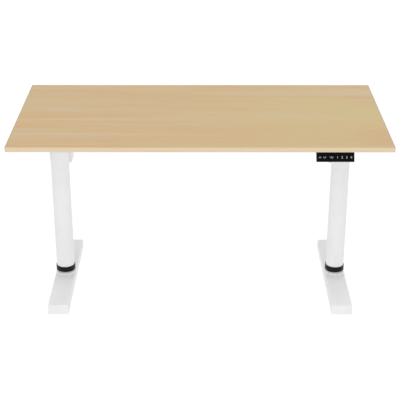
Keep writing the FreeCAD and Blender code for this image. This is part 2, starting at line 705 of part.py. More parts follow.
def control_box():
    """Control case with ears screwed to the board, and the mains inlet in its back wall."""
    middle = "(control_back + control_depth / 2)"
    low = f"({UNDERSIDE} - control_high)"
    outer = slab("control_width", "control_depth", "control_high", ("0", middle, low), "control_round")
    room = slab("control_width - 2 * control_wall", "control_depth - 2 * control_wall",
                "control_high - control_wall", ("0", middle, f"{low} + control_wall"),
                "control_round - control_wall")
    inlet_x = "(inlet_inset - inlet_width / 2)"
    inlet_y = "(control_back + control_depth - inlet_depth)"
    inlet_z = f"({low} + (control_high - inlet_high) / 2)"
    inlet_size = ("inlet_width", "inlet_depth", "inlet_high")
    mouth = box(inlet_size, (inlet_x, inlet_y, inlet_z))
    parts = [cut(outer, [room, mouth])]
    holes = []
    for side, sign in SIDES:
        for share in ("0.25", "0.75"):
            y = f"control_back + {share} * control_depth"
            centre = across_x(sign, "(control_width / 2 + ear_reach / 2)")
            corner = (f"{centre} - ear_reach / 2", f"{y} - ear_width / 2", f"{UNDERSIDE} - ear_thick")
            parts.append(box(("ear_reach", "ear_width", "ear_thick"), corner))
            holes.append(cylinder("screw_dia / 2", "ear_thick", (centre, y, f"{UNDERSIDE} - ear_thick")))
    keep("control_case", cut(joined(parts), holes))

    block = box(inlet_size, (inlet_x, inlet_y, inlet_z))
    well_size = ("inlet_width - 2 * inlet_wall", "inlet_depth - inlet_base", "inlet_high - 2 * inlet_wall")
    well_low = (f"{inlet_x} + inlet_wall", f"{inlet_y} + inlet_base", f"{inlet_z} + inlet_wall")
    well = box(well_size, well_low)
    pins = []
    for step, rise in ((-1, 0), (1, 0), (0, 1)):
        blade_x = f"{inlet_x} + inlet_width / 2 + {step} * blade_pitch - blade_thick / 2"
        blade_z = f"{inlet_z} + inlet_high / 2 + {rise} * blade_high - blade_drop"
        blade = (blade_x, f"{inlet_y} + inlet_base", blade_z)
        pins.append(box(("blade_thick", "blade_long", "blade_high"), blade))
    keep("mains_inlet", joined([cut(block, [well]), *pins]))


def bent_path(points):
    """Straight runs joined by tangent arcs through the bends of a list of points."""
    edges = []
    start = points[0]
    for before, corner, after in zip(points, points[1:], points[2:]):
        toward = (before - corner).normalize()
        onward = (after - corner).normalize()
        half_turn = (math.pi - toward.getAngle(onward)) / 2
        setback = 0.45 * min((before - corner).Length, (after - corner).Length)
        radius = setback / math.tan(half_turn)
        print(f"bend radius {radius:.1f} mm")
        inward = (toward + onward).normalize()
        centre = corner + inward * (radius / math.cos(half_turn))
        arc_start = corner + toward * setback
        arc_end = corner + onward * setback
        edges.append(Part.LineSegment(start, arc_start).toShape())
        edges.append(Part.Arc(arc_start, centre - inward * radius, arc_end).toShape())
        start = arc_end
    edges.append(Part.LineSegment(start, points[-1]).toShape())
    return Part.Wire(edges)


def lead(label, route, diameter, plugs):
    """A held cable along its route, with a plug block round each end."""
    points = [Vector(*[value(text) for text in point]) for point in route]
    path = bent_path(points)
    radius = value(diameter) / 2
    section = Part.Wire(Part.makeCircle(radius, points[0], points[1] - points[0]))
    tube = path.makePipeShell([section], True, False)
    print(f"{label} {path.Length:.0f} mm, volume over section times length "
          f"{tube.Volume / (math.pi * radius ** 2 * path.Length):.4f}")
    size = value("plug_size")
    length = value("plug_length")
    for point, (dx, dy) in zip((points[0], points[-1]), plugs):
        block = Part.makeBox(abs(dx) * length + abs(dy) * size, abs(dy) * length + abs(dx) * size, size)
        low_x = min(0, dx) * length - abs(dy) * size / 2
        low_y = min(0, dy) * length - abs(dx) * size / 2
        block.translate(point + Vector(low_x, low_y, -size / 2))
        tube = tube.fuse(block)
    cable = doc.addObject("Part::Feature", "cable")
    cable.Shape = tube
    keep(label, cable)


LEAD_BACK = "(control_back + control_depth / 3)"
CASE_LEAD_Z = f"({LID_LOW} - case_high / 2 + 4)"
CLIMB_START = f"({RAIL_END} - 44)"
CLIMB_END = f"({RAIL_END} - 84)"


def motor_lead_route(sign):
    """From the gear case's inner side, up to the board and along it to the control case."""
    stops = (
        (RAIL_END, LEAD_BACK, CASE_LEAD_Z),
        (CLIMB_START, LEAD_BACK, CASE_LEAD_Z),
        (CLIMB_END, LEAD_BACK, LEAD_Z),
        ("(control_width / 2 + 60)", LEAD_BACK, LEAD_Z),
        ("(control_width / 2 + 28)", LEAD_BACK, f"{LEAD_Z} - 6"),
        ("(control_width / 2)", LEAD_BACK, f"{LEAD_Z} - 6"),
    )
    return [(across_x(sign, x), y, z) for x, y, z in stops]


def handset_lead_route():
    """From the back of the handset, beside the right bracket, over the rails to the control case."""
    start_x = f"({HANDSET_X} - 18)"
    socket_x = "(control_width / 2 - 34)"
    return [
        (start_x, HOUSING_BACK, LEAD_Z),
        (start_x, f"{HOUSING_BACK} + 60", LEAD_Z),
        (f"{HANDSET_X} - 148", "control_back - 130", LEAD_Z),
        (f"{socket_x} + 29", "control_back - 58", LEAD_Z),
        (socket_x, "control_back - 30", LEAD_Z),
        (socket_x, "control_back", LEAD_Z),
    ]


def clip(along_from, along_to, share, diameter):
    """A saddle clip from the board round a lead, on the run between two points of its route."""
    start = Vector(*[value(text) for text in along_from])
    end = Vector(*[value(text) for text in along_to])
    spot = start + (end - start) * share
    heading = math.degrees(math.atan2(end.y - start.y, end.x - start.x))
    half_length = value("clip_length") / 2
    under = value("clip_under")
    width = value("clip_width")
    saddle = Part.makeBox(2 * half_length, width, under + value("lead_drop"),
                          Vector(-half_length, -width / 2, -under))
    hole_radius = value(f"{diameter} / 2 + run_gap")
    hole = Part.makeCylinder(hole_radius, 4 * half_length, Vector(-2 * half_length, 0, 0), Vector(1, 0, 0))
    piece = saddle.cut(hole)
    piece.Placement = FreeCAD.Placement(spot, FreeCAD.Rotation(Vector(0, 0, 1), heading))
    return piece


def held_cables():
    """The two motor leads, the handset lead and the clips that hold them to the board."""
    clips = []
    for side, sign in SIDES:
        route = motor_lead_route(sign)
        lead(f"{side}_motor_lead", route, "motor_lead_dia", ((-sign, 0), (sign, 0)))
        for share in (0.2, 0.5, 0.8):
            clips.append(clip(route[2], route[3], share, "motor_lead_dia"))
    route = handset_lead_route()
    lead("handset_lead", route, "handset_lead_dia", ((0, 1), (0, -1)))
    for number, share in ((1, 0.4), (2, 0.45), (2, 0.8)):
        clips.append(clip(route[number], route[number + 1], share, "handset_lead_dia"))
    cluster = doc.addObject("Part::Feature", "clips")
    cluster.Shape = Part.makeCompound(clips)
    keep("cable_clips", cluster)


def on_face(thing, across, up, out):
    """Lays an object on the handset's face: X along the desk, Y up the face, Z out of it."""
    tilt = math.radians(value("handset_tilt"))
    up_face = Vector(0, math.sin(tilt), math.cos(tilt))
    out_of_face = Vector(0, -math.cos(tilt), math.sin(tilt))
    corner = Vector(value(HANDSET_X), value(FACE_Y), value(FACE_Z))
    corner += Vector(value(across), 0, 0) + up_face * value(up) + out_of_face * value(out)
    turn = FreeCAD.Rotation(Vector(1, 0, 0), 90 - value("handset_tilt"))
    thing.Placement = FreeCAD.Placement(corner, turn)
    return thing


def face_block(width, high, deep, centre, middle, out):
    """A block on the handset's face, centred on (centre, middle), from out inward by deep."""
    block = doc.addObject("Part::Box", "block")
    for prop, text in zip(("Length", "Width", "Height"), (width, high, deep)):
        bind(block, prop, text)
    return on_face(block, f"{centre} - ({width}) / 2", f"{middle} - ({high}) / 2", f"{out} - ({deep})")


# The keys' middles along the row, in key spacings from the handset's middle.
KEY_PLACES = [("up", "-key_pitch * 3.394"), ("down", "-key_pitch * 2.394")]
for number in range(MEMORY_KEYS):
    KEY_PLACES.append((str(number + 1), f"key_pitch * ({number} + 0.424)"))
DISPLAY_X = "(-key_pitch * 0.955)"


def handset():
    """Wedge housing under the tabletop's front edge, with its fascia, display and six keys."""
    reach = "handset_deep * cos(handset_tilt * 1 deg)"
    sink = "handset_deep * sin(handset_tilt * 1 deg)"
    flange_back = f"({HOUSING_BACK} + handset_flange)"
    outline = [
        (FACE_Y, FACE_Z),
        (f"{FACE_Y} + {reach}", f"{FACE_Z} - {sink}"),
        (HOUSING_BACK, f"{UNDERSIDE} - ear_thick - handset_rear"),
        (HOUSING_BACK, f"{UNDERSIDE} - ear_thick"),
        (flange_back, f"{UNDERSIDE} - ear_thick"),
        (flange_back, UNDERSIDE),
        (f"{FACE_Y} + handset_drop * tan(handset_tilt * 1 deg)", UNDERSIDE),
    ]
    housing = padded("YZ_Plane", [outline], "handset_width", (HANDSET_X, "0", "0"), True)
    doc.recompute()
    face_width = "(handset_width - 2 * handset_wall)"
    face_high = f"({FACE_HIGH} - 2 * handset_wall)"
    room_width = "(handset_width - 4 * handset_wall)"
    room_high = f"({FACE_HIGH} - 4 * handset_wall)"
    recess = face_block(face_width, face_high, "fascia_thick", "0", FACE_MIDDLE, "0")
    room = face_block(room_width, room_high, "handset_deep - handset_skin", "0", FACE_MIDDLE, "0")
    holes = []
    for side, sign in SIDES:
        x = f"{HANDSET_X} + {sign} * handset_width / 3"
        holes.append(cylinder("screw_dia / 2", "ear_thick", (x, HANDSET_SCREW_Y, f"{UNDERSIDE} - ear_thick")))
    keep("handset_case", cut(housing, [recess, room, *holes]))

    slot_width = "(key_width + 2 * key_gap)"
    slot_high = "(key_high + 2 * key_gap)"
    slots = [face_block(slot_width, slot_high, "fascia_thick", x, KEY_ROW, "0") for name, x in KEY_PLACES]
    window = face_block("display_width", "key_high", "fascia_thick", DISPLAY_X, KEY_ROW, "0")
    sheet_block = face_block(face_width, face_high, "fascia_thick", "0", FACE_MIDDLE, "0")
    keep("handset_fascia", cut(sheet_block, [window, *slots]))

    pane = face_block("display_width", "key_high", "panel_depth", DISPLAY_X, KEY_ROW, "0")
    panel = face_block("handset_width - 6 * handset_wall", "key_high + 2 * panel_over", "panel_thick", "0",
                       FACE_MIDDLE, "-panel_depth")
    keep("handset_display", joined([pane, panel]))

    for name, x in KEY_PLACES:
        head = face_block("key_width", "key_high", "key_body + key_proud", x, KEY_ROW, "key_proud")
        stem = face_block("key_stem", "key_stem", "key_rest - key_body", x, KEY_ROW, "-key_body")
        keep(f"key_{name}", joined([head, stem]))


def check(things):
    """Stops where an object failed or a sub-part's shape is empty or broken."""
    for thing in doc.Objects:
        if "Invalid" in thing.State or "Error" in thing.State:
            raise RuntimeError(f"{thing.Name} ({thing.Label}) failed: {thing.State}")
    for thing in things:
        if thing.Shape.isNull() or not thing.Shape.isValid() or not thing.Shape.Solids:
            raise RuntimeError(f"{thing.Label} has no valid solid")


desktop()
board_screws()
for side, sign in SIDES:
    foot(side, sign)
    inner_column(side, sign)
    outer_column(side, sign)
    drive(side, sign)
    gear_case(side, sign)
    side_bracket(side, sign)
bracket_pads()
rails()
control_box()
held_cables()
handset()
doc.recompute()
check(NODES)

os.makedirs("parts", exist_ok=True)
for thing in NODES:
    thing.Shape.exportStep(f"parts/{thing.Label}.step")
print(f"{len(NODES)} sub-parts written")
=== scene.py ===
import json
import math

import bmesh
import bpy
from mathutils import Matrix, Vector


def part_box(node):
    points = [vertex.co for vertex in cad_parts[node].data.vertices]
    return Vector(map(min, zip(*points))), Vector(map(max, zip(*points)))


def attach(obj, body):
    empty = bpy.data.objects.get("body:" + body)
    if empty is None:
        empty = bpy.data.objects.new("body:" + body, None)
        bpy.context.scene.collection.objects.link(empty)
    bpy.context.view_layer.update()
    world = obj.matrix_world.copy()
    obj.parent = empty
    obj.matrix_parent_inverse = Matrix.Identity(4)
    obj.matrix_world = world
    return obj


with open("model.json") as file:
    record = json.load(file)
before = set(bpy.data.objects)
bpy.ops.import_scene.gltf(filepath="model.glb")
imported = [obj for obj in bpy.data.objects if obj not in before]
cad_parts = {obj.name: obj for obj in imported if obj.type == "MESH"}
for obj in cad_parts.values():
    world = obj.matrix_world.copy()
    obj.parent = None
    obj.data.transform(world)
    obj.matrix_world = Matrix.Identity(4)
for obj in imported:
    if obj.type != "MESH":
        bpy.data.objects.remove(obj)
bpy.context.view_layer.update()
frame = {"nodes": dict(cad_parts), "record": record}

# A height adjustable desk: a pale wood laminate top on white powder coated columns and feet,
# with a black keypad under the front edge. Metres throughout, in the frame's own axes.

MM = 0.001
RECORD = frame["record"]
SIDES = (("left", -1), ("right", 1))
KEY_NAMES = ("up", "down", "1", "2", "3", "4")
ACROSS = Vector((1, 0, 0))
BACK = Vector((0, 1, 0))
UP = Vector((0, 0, 1))


# ---------------------------------------------------------------- small tools

def linear(code):
    """The linear RGBA of an sRGB hex colour."""
    parts = [int(code[start:start + 2], 16) / 255 for start in (1, 3, 5)]
    return [part / 12.92 if part <= 0.04045 else ((part + 0.055) / 1.055) ** 2.4
            for part in parts] + [1.0]


def add(tree, kind, inputs=None, **settings):
    """Adds a node, sets its properties, and sets or links each input by name or number."""
    node = tree.nodes.new(kind)
    for name, setting in settings.items():
        setattr(node, name, setting)
    for name, source in (inputs or {}).items():
        if isinstance(source, bpy.types.NodeSocket):
            tree.links.new(source, node.inputs[name])
        else:
            node.inputs[name].default_value = source
    return node


def box_of(name):
    """The low corner, high corner and middle of a CAD node."""
    low, high = (Vector(corner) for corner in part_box(name))
    return low, high, (low + high) / 2


def middle_of(name):
    """The middle of a CAD node's box."""
    return box_of(name)[2]


# ---------------------------------------------------------------- materials

def new_material(name):
    """A material with an empty node tree."""
    material = bpy.data.materials.new(name)
    material.use_nodes = True
    material.node_tree.nodes.clear()
    return material, material.node_tree


def finished(material, inputs):
    """Ends a material's tree in a principled shader with these inputs."""
    tree = material.node_tree
    shader = add(tree, "ShaderNodeBsdfPrincipled", inputs)
    add(tree, "ShaderNodeOutputMaterial", {"Surface": shader.outputs[0]})
    return material


def noise(tree, grain, detail=3.0, roughness=0.55, distortion=0.0):
    """Noise whose cells have the given size in metres along X, Y and Z."""
    place = add(tree, "ShaderNodeTexCoord").outputs["Object"]
    scaled = add(tree, "ShaderNodeMapping", {
        "Vector": place, "Scale": [1 / size for size in grain]})
    return add(tree, "ShaderNodeTexNoise", {
        "Vector": scaled.outputs[0], "Scale": 1.0, "Detail": detail,
        "Roughness": roughness, "Distortion": distortion}).outputs["Fac"]


def ramp(tree, factor, stops):
    """A colour ramp with (position, hex colour) stops."""
    node = add(tree, "ShaderNodeValToRGB", {"Fac": factor})
    elements = node.color_ramp.elements
    while len(elements) < len(stops):
        elements.new(0.5)
    for element, (position, colour) in zip(elements, stops):
        element.position = position
        element.color = linear(colour)
    return node.outputs["Color"]


def spread(tree, factor, low, high, to_low=0.0, to_high=1.0):
    """Maps a factor's range onto another, and stops at its ends."""
    return add(tree, "ShaderNodeMapRange", {
        "Value": factor, "From Min": low, "From Max": high,
        "To Min": to_low, "To Max": to_high}).outputs["Result"]


def mixed(tree, factor, first, second, blend="MIX"):
    """Two colours blended, each a socket or a linear colour."""
    return add(tree, "ShaderNodeMix", {"Factor": factor, 6: first, 7: second},
               data_type="RGBA", blend_type=blend).outputs[2]


def bump(tree, height, depth):
    """A bump whose full height is depth metres."""
    return add(tree, "ShaderNodeBump", {
        "Height": height, "Strength": 1.0, "Distance": depth}).outputs["Normal"]


def parts_of(tree, vector):
    """The X, Y and Z outputs of a vector."""
    return add(tree, "ShaderNodeSeparateXYZ", {"Vector": vector}).outputs


def object_place(tree):
    """The X, Y and Z outputs of a point's place in its object."""
    return parts_of(tree, add(tree, "ShaderNodeTexCoord").outputs["Object"])


def size_of(tree, value):
    """A value without its sign."""
    return add(tree, "ShaderNodeMath", {0: value}, operation="ABSOLUTE").outputs[0]


def times(tree, first, second):
    """The product of two values."""
    return add(tree, "ShaderNodeMath", {0: first, 1: second}, operation="MULTIPLY").outputs[0]


def wood_laminate():
    """Printed wood melamine: long faint streaks along the board, and a plain backing under it."""
    material, tree = new_material("wood_melamine_laminate")
    bands = noise(tree, (1.6, 0.10, 0.10), 3.0, 0.5, 0.6)
    streaks = noise(tree, (0.50, 0.022, 0.022), 4.0, 0.55, 0.4)
    fibres = noise(tree, (0.10, 2.4 * MM, 2.4 * MM), 4.0, 0.65)
    pores = noise(tree, (0.022, 0.9 * MM, 0.9 * MM), 2.0)
    clouds = noise(tree, (0.50, 0.30, 0.30), 2.0)
    ground = ramp(tree, bands, (
        (0.32, WOOD["pale"]), (0.46, WOOD["body"]), (0.60, WOOD["warm"]), (0.74, WOOD["body"])))
    warmth = spread(tree, streaks, 0.50, 0.72, 0.0, 0.35)
    paleness = spread(tree, streaks, 0.46, 0.30, 0.0, 0.40)
    warm_streaks = mixed(tree, warmth, ground, linear(WOOD["warm"]))
    pale_streaks = mixed(tree, paleness, warm_streaks, linear(WOOD["pale"]))
    place = object_place(tree)
    sunny = times(tree, spread(tree, place["X"], -0.3, 0.75), spread(tree, clouds, 0.35, 0.6))
    toned = mixed(tree, sunny, pale_streaks, linear(WOOD["yellow"]))
    lines = spread(tree, fibres, 0.36, 0.66, 1.02, 0.955)
    shade = add(tree, "ShaderNodeCombineColor", {
        "Red": lines, "Green": lines, "Blue": lines}).outputs[0]
    lined = mixed(tree, 1.0, toned, shade, "MULTIPLY")
    dark_pores = spread(tree, pores, 0.64, 0.74, 0.0, 0.28)
    printed = mixed(tree, dark_pores, lined, linear(WOOD["pore"]))
    under = box_of("desktop_board")[0].z
    backing = spread(tree, place["Z"], under + 0.2 * MM, under + 0.6 * MM, 1.0, 0.0)
    colour = mixed(tree, backing, printed, linear(WOOD["backing"]))
    return finished(material, {
        "Base Color": colour, "Roughness": spread(tree, fibres, 0.3, 0.7, 0.42, 0.52), "IOR": 1.5,
        "Specular IOR Level": 0.25, "Normal": bump(tree, pores, 0.04 * MM)})


def printed_edging():
    """Plastic edging printed to match the board: paler, with fine lines along the edge, and painted
    shade on its faces turned up, down and to the board's ends, darkest on the rims at the ends.
    """
    material, tree = new_material("printed_abs_edging")
    lines = noise(tree, (0.35, 0.35, 1.6 * MM), 4.0, 0.6)
    clouds = noise(tree, (0.12, 0.12, 0.02))
    off_middle = size_of(tree, object_place(tree)["X"])
    end_x = box_of("desktop_board")[1].x
    at_end = spread(tree, off_middle, end_x - 0.5 * MM, end_x + 0.5 * MM)
    face = ramp(tree, lines, ((0.34, WOOD["edge"]), (0.66, WOOD["edge_dark"])))
    cloudy = mixed(tree, spread(tree, clouds, 0.4, 0.7, 0.0, 0.3), face, linear(WOOD["edge_dark"]))
    # Painted shade by facing: faces turned up or down (the rims) and faces turned along X (the
    # board's ends) are darkened, the rims at the board's ends most of all.
    facing = parts_of(tree, add(tree, "ShaderNodeNewGeometry").outputs["Normal"])
    rim_shade_mask = size_of(tree, facing["Z"])
    end = size_of(tree, facing["X"])
    ends = mixed(tree, spread(tree, end, 0.35, 0.9), cloudy, linear(WOOD["painted_end_face_shade_tone"]))
    rim_shade_tones = mixed(tree, at_end, linear(WOOD["painted_rim_shade_tone"]), linear(WOOD["painted_end_rim_shade_tone"]))
    colour = mixed(tree, spread(tree, rim_shade_mask, 0.35, 0.9), ends, rim_shade_tones)
    return finished(material, {
        "Base Color": colour, "Roughness": spread(tree, lines, 0.3, 0.7, 0.42, 0.5), "IOR": 1.52,
        "Specular IOR Level": 0.25, "Normal": bump(tree, lines, 0.03 * MM)})


def coated(name, tones, peel, roughness):
    """Powder coated steel: an even skin with a faint orange peel and a soft broad highlight."""
    material, tree = new_material(name)
    ripple = noise(tree, (peel, peel, peel), 2.0)
    clouds = noise(tree, (0.16, 0.16, 0.16))
    return finished(material, {
        "Base Color": ramp(tree, clouds, ((0.35, tones[0]), (0.65, tones[1]))),
        "Roughness": spread(tree, ripple, 0.3, 0.7, roughness - 0.04, roughness + 0.05), "IOR": 1.5,
        "Specular IOR Level": 0.35, "Normal": bump(tree, ripple, 0.06 * MM)})


def moulded(name, tones, grit, roughness, shine=0.35, depth=0.03 * MM):
    """Injection moulded plastic with a spark eroded grain."""
    material, tree = new_material(name)
    grain = noise(tree, (grit, grit, grit), 3.0, 0.6)
    clouds = noise(tree, (0.05, 0.05, 0.05))
    return finished(material, {
        "Base Color": ramp(tree, clouds, ((0.35, tones[0]), (0.65, tones[1]))),
        "Roughness": spread(tree, grain, 0.3, 0.7, roughness - 0.06, roughness + 0.06), "IOR": 1.5,
        "Specular IOR Level": shine, "Normal": bump(tree, grain, depth)})


def polished(name, tones, roughness):
    """Polished acrylic: deep colour under a smooth skin with faint wiping haze."""
    material, tree = new_material(name)
    haze = noise(tree, (0.02, 0.008, 0.008), 3.0, 0.6)
    return finished(material, {
        "Base Color": ramp(tree, haze, ((0.3, tones[0]), (0.7, tones[1]))),
        "Roughness": spread(tree, haze, 0.3, 0.7, roughness, roughness + 0.08), "IOR": 1.49,
        "Specular IOR Level": 0.05})


def worked_metal(name, tones, lay, roughness):
    """Machined or plated metal whose tool marks have cells of the given size."""
    material, tree = new_material(name)
    marks = noise(tree, lay, 4.0, 0.6)
    stain = noise(tree, (0.02, 0.02, 0.02))
    return finished(material, {
        "Base Color": ramp(tree, stain, ((0.35, tones[0]), (0.65, tones[1]))), "Metallic": 1.0,
        "Roughness": spread(tree, marks, 0.3, 0.7, roughness - 0.07, roughness + 0.08),
        "Normal": bump(tree, marks, 0.03 * MM)})


def glowing(name, tones, glow):
    """Printed or lit characters: flat, with a little light of their own; on printed characters that
    light is a painted glow.
    """
    material, tree = new_material(name)
    speckle = noise(tree, (1.5 * MM, 1.5 * MM, 1.5 * MM), 2.0)
    return finished(material, {
        "Base Color": ramp(tree, speckle, ((0.3, tones[0]), (0.7, tones[1]))),
        "Roughness": 0.5, "Specular IOR Level": 0.1,
        "Emission Color": linear(tones[1]), "Emission Strength": glow})


WOOD = {
    "pale": "#c9b292", "body": "#c8ad80", "warm": "#c9a577", "yellow": "#c8b27f",
    "pore": "#a8875b", "backing": "#e6e5e3",
    # The edging's tones for its end faces and rims are painted shade, darker than the edging's own
    # colour.
    "edge": "#e2cfb2", "edge_dark": "#dbc4a3", "painted_end_face_shade_tone": "#c6b099",
    "painted_rim_shade_tone": "#cbb697", "painted_end_rim_shade_tone": "#857f76",
}

MATERIALS = {
    "laminate": wood_laminate(),
    "edge_band": printed_edging(),
    "white_paint": coated("white_powder_coat", ("#eaeaea", "#eeeeee"), 2.2 * MM, 0.5),
    "weld_coat": coated("coated_weld_bead", ("#e4e4e4", "#e8e8e8"), 3.0 * MM, 0.5),
    "motor_black": coated("black_enamel", ("#1b1b1d", "#202022"), 1.6 * MM, 0.4),
    "white_plastic": moulded("white_abs_moulding", ("#eaeaea", "#eeeeee"), 1.1 * MM, 0.52),
    "black_plastic": moulded("black_abs_moulding", ("#101010", "#141414"), 1.0 * MM, 0.55, 0.08),
    "ring_plastic": moulded("black_acetal_ring", ("#161617", "#1b1b1c"), 1.6 * MM, 0.36, 0.12),
    "bushing_plastic": moulded("natural_acetal", ("#d8d5c8", "#dedbd0"), 1.6 * MM, 0.4),
    "gear_nylon": moulded("natural_nylon", ("#d9d6c9", "#e0ddd2"), 1.4 * MM, 0.45),
    "pad_rubber": moulded(
        "black_rubber_pad", ("#191919", "#1f1f1f"), 0.8 * MM, 0.75, 0.2, 0.06 * MM),
    "lead_sheath": moulded("black_pvc_sheath", ("#111112", "#151516"), 1.2 * MM, 0.42, 0.2),
    "key_black": moulded("satin_black_key", ("#0a0a0b", "#0e0e0f"), 0.9 * MM, 0.42, 0.06),
    "zinc_steel": worked_metal(
        "zinc_plated_steel", ("#a9acb0", "#bcbfc2"), (1.2 * MM, 1.2 * MM, 1.2 * MM), 0.34),
    "spindle_steel": worked_metal(
        "rolled_spindle_steel", ("#8c8c8e", "#9b9b9d"), (0.02, 0.02, 0.9 * MM), 0.32),
    "nut_brass": worked_metal(
        "machined_brass", ("#b08d4a", "#c29d57"), (0.02, 0.02, 0.8 * MM), 0.3),
    "fascia_gloss": polished("black_acrylic_fascia", ("#0b0b0c", "#0e0e0f"), 0.2),
    "display_gloss": polished("dark_display_window", ("#050506", "#070708"), 0.15),
    # The key print's faint glow is painted light: the print is ink, not a lamp.
    "white_print": glowing("grey_key_print_painted_glow", ("#b4b4b4", "#c4c4c4"), 0.05),
    "display_light": glowing("lit_display_digits", ("#aab0b4", "#bcc2c6"), 0.12),
}


def paint_cad_nodes():
    """Gives each CAD node the finish of its material slot."""
    for entry in RECORD["subparts"]:
        node = frame["nodes"][entry["node"]]
        node.data.materials.clear()
        node.data.materials.append(MATERIALS[entry["material_slot"]])


# ---------------------------------------------------------------- mesh pieces

def piece(name, mesh, finish, body):
    """A finished piece from a mesh that is already in place, riding on a body."""
    item = bpy.data.objects.new(name, mesh)
    bpy.context.scene.collection.objects.link(item)
    mesh.materials.clear()
    mesh.materials.append(MATERIALS[finish])
    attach(item, body)


def mesh_of(name, shape, smooth_degrees=35):
    """A mesh with outward faces, shaded smooth except over sharp edges."""
    bmesh.ops.recalc_face_normals(shape, faces=shape.faces)
    limit = math.radians(smooth_degrees)
    for face in shape.faces:
        face.smooth = True
    for edge in shape.edges:
        edge.smooth = edge.is_manifold and edge.calc_face_angle(0) < limit
    mesh = bpy.data.meshes.new(name)
    shape.to_mesh(mesh)
    shape.free()
    return mesh


def spun(shape, outline, centre, axis, steps):
    """Turns a closed outline of (radius, height) points round an axis through centre."""
    turn = axis.normalized().to_track_quat("Z", "Y").to_matrix()
    rings = []
    for step in range(steps):
        angle = 2 * math.pi * step / steps
        outward = Vector((math.cos(angle), math.sin(angle), 0))
        rings.append([shape.verts.new(centre + turn @ (outward * radius + UP * height))
                      for radius, height in outline])
    for step, ring in enumerate(rings):
        following = rings[(step + 1) % steps]
        for index in range(len(outline)):
            after = (index + 1) % len(outline)
            shape.faces.new((ring[index], following[index], following[after], ring[after]))


def bar(shape, low, high, soften):
    """A block between two corners with softened edges."""
    made = bmesh.ops.create_cube(shape, size=1.0)["verts"]
    low, high = Vector(low), Vector(high)
    for vert in made:
        vert.co = (low + high) / 2 + vert.co * (high - low)
    edges = list({edge for vert in made for edge in vert.link_edges})
    bmesh.ops.bevel(shape, geom=edges, offset=soften, segments=2, affect="EDGES", profile=0.5)


FLANGE_THICK = 6 * MM
TUBE_RADIUS = 32 * MM
WELD_SIZE = 3.2 * MM
WELD_HEIGHT = 0.9 * WELD_SIZE
WELD_RIPPLES = 36
WELD_RIPPLE = 0.15 * MM
ARC_STEPS = 8


def weld_beads():
    """A rounded bead with slight ripples where each inner tube meets its base flange."""
    for side, _ in SIDES:
        low, _, middle = box_of(f"{side}_inner_column")
        centre = Vector((middle.x, middle.y, low.z + FLANGE_THICK))
        outline = [(TUBE_RADIUS, 0.0)]
        for step in range(ARC_STEPS + 1):
            angle = math.pi / 2 * step / ARC_STEPS
            outline.append((TUBE_RADIUS + WELD_SIZE * math.cos(angle),
                            WELD_HEIGHT * math.sin(angle)))
        shape = bmesh.new()
        spun(shape, outline, centre, UP, 4 * WELD_RIPPLES)
        for vert in shape.verts:
            out = Vector((vert.co.x - centre.x, vert.co.y - centre.y, 0))
            if out.length > TUBE_RADIUS + WELD_RIPPLE and vert.co.z > centre.z + WELD_RIPPLE:
                wave = math.sin(WELD_RIPPLES * math.atan2(out.y, out.x))
                vert.co += out.normalized() * WELD_RIPPLE * wave
        name = f"{side}_flange_weld"
        piece(name, mesh_of(name, shape), "weld_coat", f"{side}_base")


SCREW_INPUTS = (("Head radius", 3.5 * MM), ("Head height", 2.4 * MM), ("Socket radius", 1.7 * MM))
HEAD_SIDES = 28


def screw_tree():
    """The Geometry Nodes tree of all screws: a head with a hexagon socket on each point."""
    tree = bpy.data.node_groups.new("socket_screws", "GeometryNodeTree")
    panel = tree.interface
    panel.new_socket("Points", in_out="INPUT", socket_type="NodeSocketGeometry")
    for name, setting in SCREW_INPUTS:
        measure = panel.new_socket(name, in_out="INPUT", socket_type="NodeSocketFloat")
        measure.default_value = setting
    facing = panel.new_socket("Facing", in_out="INPUT", socket_type="NodeSocketVector")
    facing.default_value = UP
    panel.new_socket("Finish", in_out="INPUT", socket_type="NodeSocketMaterial")
    panel.new_socket("Screws", in_out="OUTPUT", socket_type="NodeSocketGeometry")
    given = add(tree, "NodeGroupInput").outputs
    head = add(tree, "GeometryNodeMeshCylinder", {
        "Vertices": HEAD_SIDES, "Radius": given["Head radius"],
        "Depth": given["Head height"]}).outputs["Mesh"]
    half = times(tree, given["Head height"], 0.5)
    lift = add(tree, "ShaderNodeCombineXYZ", {"Z": half}).outputs[0]
    socket = add(tree, "GeometryNodeMeshCylinder", {
        "Vertices": 6, "Radius": given["Socket radius"],
        "Depth": given["Head height"]}).outputs["Mesh"]
    sunk = add(tree, "GeometryNodeTransform", {"Geometry": socket, "Translation": lift}).outputs[0]
    hollow = add(tree, "GeometryNodeMeshBoolean", {"Mesh 1": head, "Mesh 2": sunk},
                 operation="DIFFERENCE", solver="EXACT").outputs["Mesh"]
    seated = add(tree, "GeometryNodeTransform", {
        "Geometry": hollow, "Translation": lift}).outputs[0]
    turned = add(tree, "FunctionNodeAlignRotationToVector", {
        "Vector": given["Facing"]}, axis="Z").outputs[0]
    spots = add(tree, "GeometryNodeInstanceOnPoints", {
        "Points": given["Points"], "Instance": seated, "Rotation": turned}).outputs[0]
    real = add(tree, "GeometryNodeRealizeInstances", {"Geometry": spots}).outputs[0]
    painted = add(tree, "GeometryNodeSetMaterial", {
        "Geometry": real, "Material": given["Finish"]}).outputs[0]
    add(tree, "NodeGroupOutput", {"Screws": painted})
    return tree


def evaluated_mesh(name, carrier):
    """The mesh that an object comes to with its modifiers; the object is removed."""
    bpy.context.scene.collection.objects.link(carrier)
    graph = bpy.context.evaluated_depsgraph_get()
    mesh = bpy.data.meshes.new_from_object(carrier.evaluated_get(graph))
    mesh.name = name
    bpy.data.objects.remove(carrier)
    return mesh


SCREWS = screw_tree()


